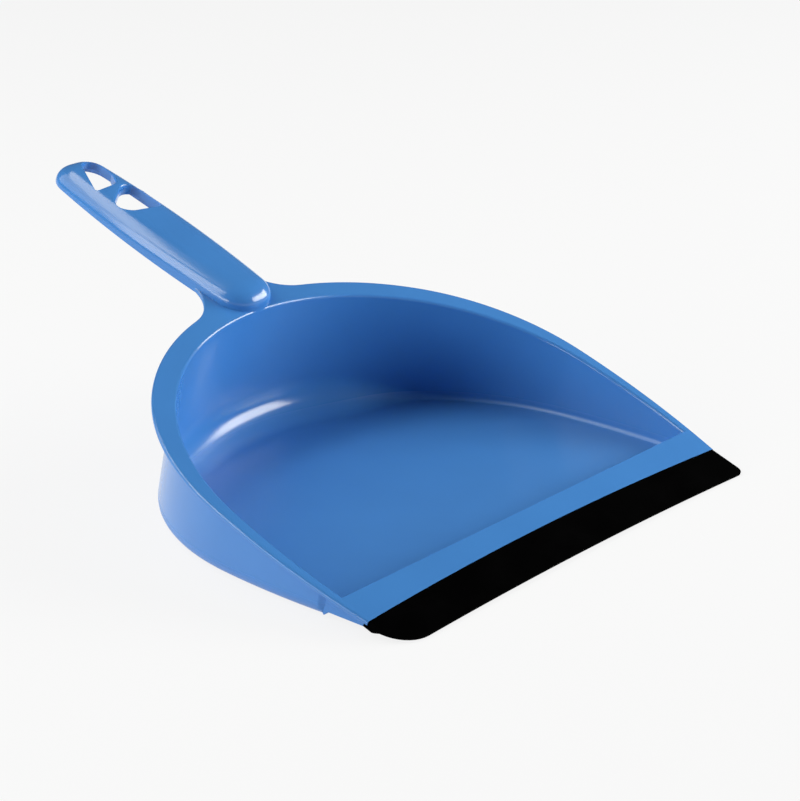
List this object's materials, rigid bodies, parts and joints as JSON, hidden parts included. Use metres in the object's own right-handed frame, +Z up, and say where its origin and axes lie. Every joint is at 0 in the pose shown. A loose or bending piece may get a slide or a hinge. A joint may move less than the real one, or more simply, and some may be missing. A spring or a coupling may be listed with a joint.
{
  "type": "dustpan",
  "caption": "Hand dustpan: a deep one-piece moulded pan with a rounded back, sloping flanged rim and hollow handle with hanging holes, and a rubber lip pushed on its front edge.",
  "frame": {"origin": "on the flat sole, straight below the middle of the rim plane", "axes": "+Z up, +Y back along the handle, +X to the right seen from behind the handle"},
  "size_m": [0.244, 0.3152, 0.1112],
  "materials": {
    "blue_plastic": "glossy moulded polypropylene, mid blue",
    "black_rubber": "soft black extruded rubber, satin"
  },
  "bodies": {
    "root": {"pan_moulding": "blue_plastic", "rubber_lip": "black_rubber"}
  },
  "joints": []
}
